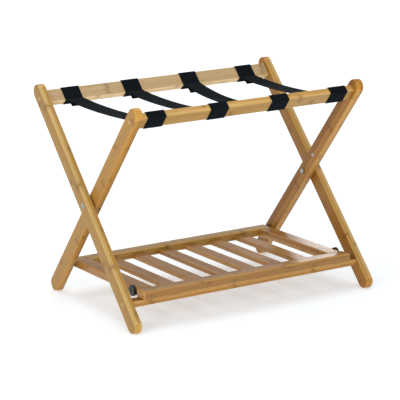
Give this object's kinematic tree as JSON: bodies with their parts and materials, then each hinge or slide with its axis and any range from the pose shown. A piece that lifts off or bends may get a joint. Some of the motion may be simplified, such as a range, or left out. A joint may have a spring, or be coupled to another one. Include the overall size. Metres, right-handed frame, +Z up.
{
  "type": "folding luggage rack",
  "caption": "Folding bamboo luggage rack with crossed leg frames, black webbing straps across the top and a hinged slatted shelf between the legs.",
  "frame": {"origin": "on the floor, midway between the legs both ways, under the main pivots", "axes": "+X across the rack to its right, +Y to the back, +Z up; the shelf's front edge and the outer frame's feet are at -Y"},
  "size_m": [0.68, 0.4816, 0.53],
  "materials": {
    "bamboo_frame": "satin lacquer",
    "bamboo_slats": "satin lacquer",
    "bamboo_dowels": "satin lacquer",
    "zinc_steel": "zinc plated",
    "black_steel": "black oxide",
    "black_plastic": "matte",
    "black_webbing": "woven"
  },
  "bodies": {
    "outer_frame": {"outer_leg_left": "bamboo_frame", "outer_leg_right": "bamboo_frame", "rear_top_rail": "bamboo_frame", "lower_front_rail": "bamboo_frame", "outer_rail_screws": "zinc_steel", "outer_rail_dowels": "bamboo_dowels", "outer_leg_plugs": "bamboo_dowels", "pivot_bolt_left": "zinc_steel", "pivot_bolt_right": "zinc_steel", "pivot_washer_left": "black_plastic", "pivot_washer_right": "black_plastic", "pivot_nut_left": "zinc_steel", "pivot_nut_right": "zinc_steel", "strap_1_rear_loop": "black_webbing", "strap_1_span": "black_webbing", "strap_2_rear_loop": "black_webbing", "strap_2_span": "black_webbing", "strap_3_rear_loop": "black_webbing", "strap_3_span": "black_webbing", "strap_4_rear_loop": "black_webbing", "strap_4_span": "black_webbing"},
    "inner_frame": {"inner_leg_left": "bamboo_frame", "inner_leg_right": "bamboo_frame", "front_top_rail": "bamboo_frame", "inner_rail_screws": "zinc_steel", "inner_rail_dowels": "bamboo_dowels", "inner_leg_plugs": "bamboo_dowels", "catch_keeper_left": "zinc_steel", "catch_keeper_right": "zinc_steel", "strap_1_front_loop": "black_webbing", "strap_2_front_loop": "black_webbing", "strap_3_front_loop": "black_webbing", "strap_4_front_loop": "black_webbing"},
    "shelf": {"shelf_front_board": "bamboo_frame", "shelf_back_board": "bamboo_frame", "shelf_end_board_left": "bamboo_frame", "shelf_end_board_right": "bamboo_frame", "shelf_slat_1": "bamboo_slats", "shelf_slat_2": "bamboo_slats", "shelf_slat_3": "bamboo_slats", "shelf_slat_4": "bamboo_slats", "shelf_slat_5": "bamboo_slats", "shelf_slat_6": "bamboo_slats", "shelf_corner_dowels": "bamboo_dowels", "shelf_slat_dowels": "bamboo_dowels", "shelf_hinge_pin_left": "zinc_steel", "shelf_hinge_pin_right": "zinc_steel", "shelf_hinge_spacer_left": "black_plastic", "shelf_hinge_spacer_right": "black_plastic", "shelf_hinge_inserts": "zinc_steel", "shelf_catch_left": "black_plastic", "shelf_catch_right": "black_plastic", "shelf_catch_screws": "black_steel"}
  },
  "joints": [
    {"name": "frame_fold", "type": "hinge", "parent": "outer_frame", "child": "inner_frame", "pos_m": [0, 0, 0.2647], "axis": [-1, 0, 0], "range_deg": [0, 75], "deforming": ["strap_1_span", "strap_2_span", "strap_3_span", "strap_4_span"]},
    {"name": "shelf_lift", "type": "hinge", "parent": "inner_frame", "child": "shelf", "pos_m": [0, 0.16495, 0.0815], "axis": [-1, 0, 0], "range_deg": [0, 48]}
  ]
}
